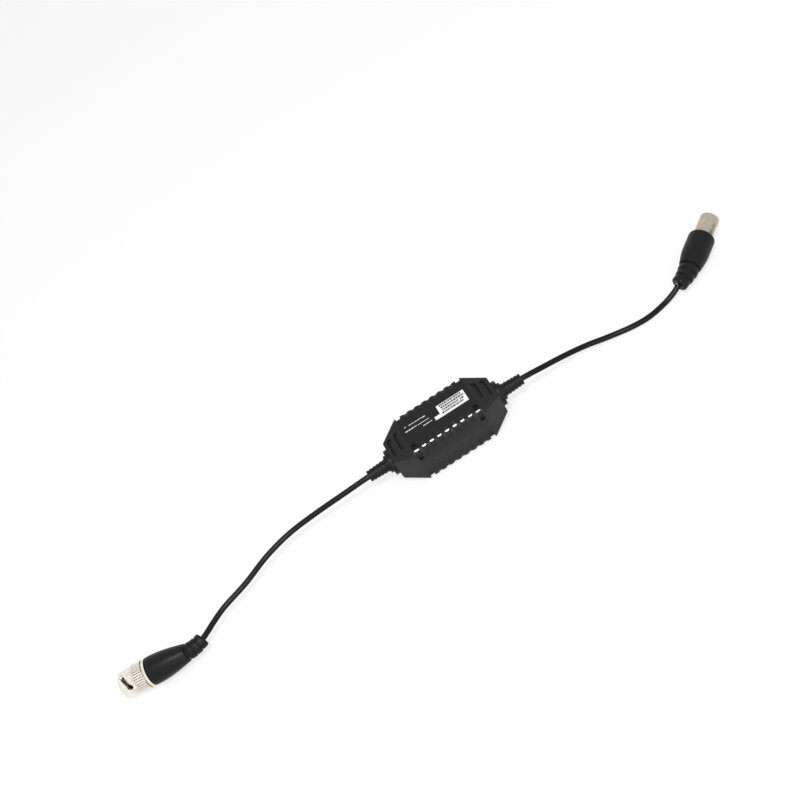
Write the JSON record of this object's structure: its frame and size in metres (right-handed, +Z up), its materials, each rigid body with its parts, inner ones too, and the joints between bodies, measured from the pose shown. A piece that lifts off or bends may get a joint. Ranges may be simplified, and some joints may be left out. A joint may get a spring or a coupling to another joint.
{
  "type": "video_ground_loop_isolator",
  "caption": "Black ribbed video ground loop isolator with a short coaxial lead at each end, one with a bayonet plug and one with a bayonet jack",
  "frame": {"origin": "The middle of the housing's underside, which rests on the floor at z = 0", "axes": "+X runs along the housing towards the jack's lead, +Y to its back, +Z up"},
  "size_m": [0.3681, 0.0626, 0.0227],
  "materials": {
    "housing_plastic": "black moulded ABS with a fine eggshell grain",
    "label_film": "bare white polyester label",
    "soft_pvc": "black soft PVC, satin",
    "board": "green solder mask on glass laminate",
    "ferrite": "sintered ferrite, tumbled",
    "copper": "enamelled copper wire",
    "component_body": "dipped ceramic and lacquer",
    "solder": "reflowed tin",
    "dielectric": "white PTFE and polyethylene",
    "lead_jacket": "black PVC coaxial jacket",
    "nickel_plate": "nickel plate on brass and zinc",
    "spring_metal": "rolled spring metal",
    "gasket_rubber": "red silicone rubber",
    "gold_plate": "gold plate"
  },
  "bodies": {
    "isolator": {"top_shell": "housing_plastic", "bottom_shell": "housing_plastic", "label": "label_film", "plug_strain_relief": "soft_pvc", "jack_strain_relief": "soft_pvc", "circuit_board": "board", "ferrite_core": "ferrite", "primary_winding": "copper", "secondary_winding": "copper", "bypass_capacitors": "component_body", "bleed_resistor": "component_body", "solder_joints": "solder", "plug_lead_end": "dielectric", "jack_lead_end": "dielectric", "plug_lead": "lead_jacket", "jack_lead": "lead_jacket", "plug_boot": "soft_pvc", "plug_body": "nickel_plate", "spring_washer": "spring_metal", "snap_ring": "spring_metal", "plug_gasket": "gasket_rubber", "plug_insulator": "dielectric", "centre_pin": "gold_plate", "plug_crimp": "nickel_plate", "plug_core": "dielectric", "jack_boot": "soft_pvc", "jack_barrel": "nickel_plate", "jack_insulator": "dielectric", "socket_contact": "gold_plate", "jack_crimp": "nickel_plate", "jack_core": "dielectric"},
    "nut": {"coupling_nut": "nickel_plate"}
  },
  "joints": [
    {"name": "nut_turn", "type": "hinge", "parent": "isolator", "child": "nut", "pos_m": [-0.18556, -0.02546, 0.00732], "axis": [-0.9943, 0.1063, 0], "continuous": true}
  ]
}
